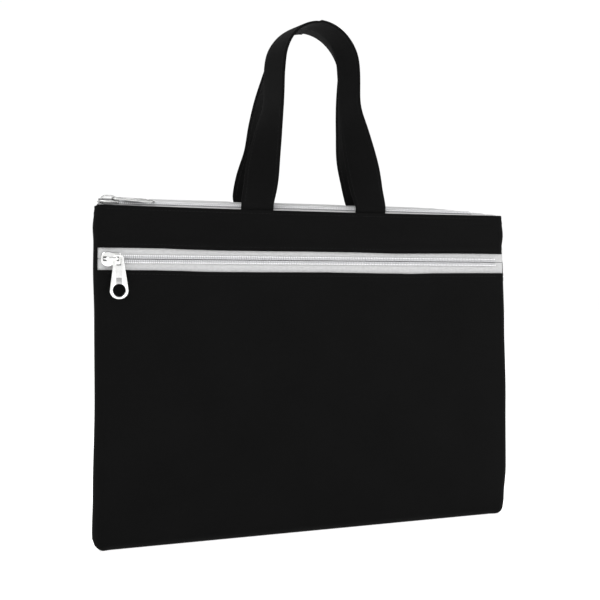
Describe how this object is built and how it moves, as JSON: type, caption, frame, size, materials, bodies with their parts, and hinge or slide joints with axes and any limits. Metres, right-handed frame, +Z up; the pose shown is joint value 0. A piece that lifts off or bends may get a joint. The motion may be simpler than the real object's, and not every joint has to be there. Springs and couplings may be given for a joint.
{
  "type": "portfolio case",
  "caption": "Flat black fabric document case with a zipped top, a zipped front pocket, pale zip tapes with bright sliders and pulls, and two short strap handles.",
  "frame": {"origin": "on the flat base the case stands on, at the middle of its width and near the middle of its depth", "axes": "+X to the right seen from the front, -Y out of the front with the pocket zip, +Z up towards the handles"},
  "size_m": [0.386, 0.0768, 0.4458],
  "materials": {
    "shell_fabric": "matt black woven polyester",
    "lining": "matt black thin woven lining",
    "handle_fabric": "matt black woven polyester, folded and stitched",
    "zip_tape": "pale silver-grey satin woven tape",
    "zip_coil": "pale grey satin plastic",
    "zip_metal": "polished bright nickel"
  },
  "bodies": {
    "case": {"back_panel": "shell_fabric", "front_top_band": "shell_fabric", "front_pocket_panel": "shell_fabric", "divider_panel": "lining", "left_seam_binding": "lining", "right_seam_binding": "lining", "bottom_seam_binding": "lining", "pocket_zip_upper_tape": "zip_tape", "pocket_zip_lower_tape": "zip_tape", "pocket_zip_upper_coil": "zip_coil", "pocket_zip_lower_coil": "zip_coil", "top_zip_front_tape": "zip_tape", "top_zip_back_tape": "zip_tape", "top_zip_front_coil": "zip_coil", "top_zip_back_coil": "zip_coil", "front_handle_left_end": "handle_fabric", "front_handle_right_end": "handle_fabric", "back_handle_left_end": "handle_fabric", "back_handle_right_end": "handle_fabric"},
    "pocket_slider": {"pocket_zip_slider_body": "zip_metal", "pocket_zip_slider_crown": "zip_metal"},
    "pocket_pull": {"pocket_zip_pull": "zip_metal"},
    "top_slider": {"top_zip_slider_body": "zip_metal", "top_zip_slider_crown": "zip_metal"},
    "top_pull": {"top_zip_pull": "zip_metal"},
    "front_handle": {"front_handle": "handle_fabric"},
    "back_handle": {"back_handle": "handle_fabric"}
  },
  "joints": [
    {"name": "pocket_slider_slide", "type": "slide", "parent": "case", "child": "pocket_slider", "axis": [1, 0, 0], "range_m": [0, 0.34]},
    {"name": "pocket_pull_swing", "type": "hinge", "parent": "pocket_slider", "child": "pocket_pull", "pos_m": [-0.17375, -0.01495, 0.2365], "axis": [0, -1, 0], "range_deg": [-30, 90]},
    {"name": "top_slider_slide", "type": "slide", "parent": "case", "child": "top_slider", "axis": [1, 0, 0], "range_m": [0, 0.328]},
    {"name": "top_pull_flip", "type": "hinge", "parent": "top_slider", "child": "top_pull", "pos_m": [-0.17615, -0.0024, 0.28673], "axis": [0, -0.9537, -0.3007], "range_deg": [0, 150]},
    {"name": "front_handle_fold", "type": "hinge", "parent": "case", "child": "front_handle", "pos_m": [0, -0.0136, 0.2795], "axis": [1, 0, 0], "range_deg": [0, 165]},
    {"name": "back_handle_fold", "type": "hinge", "parent": "case", "child": "back_handle", "pos_m": [0, 0.0139, 0.2862], "axis": [-1, 0, 0], "range_deg": [0, 165]}
  ]
}
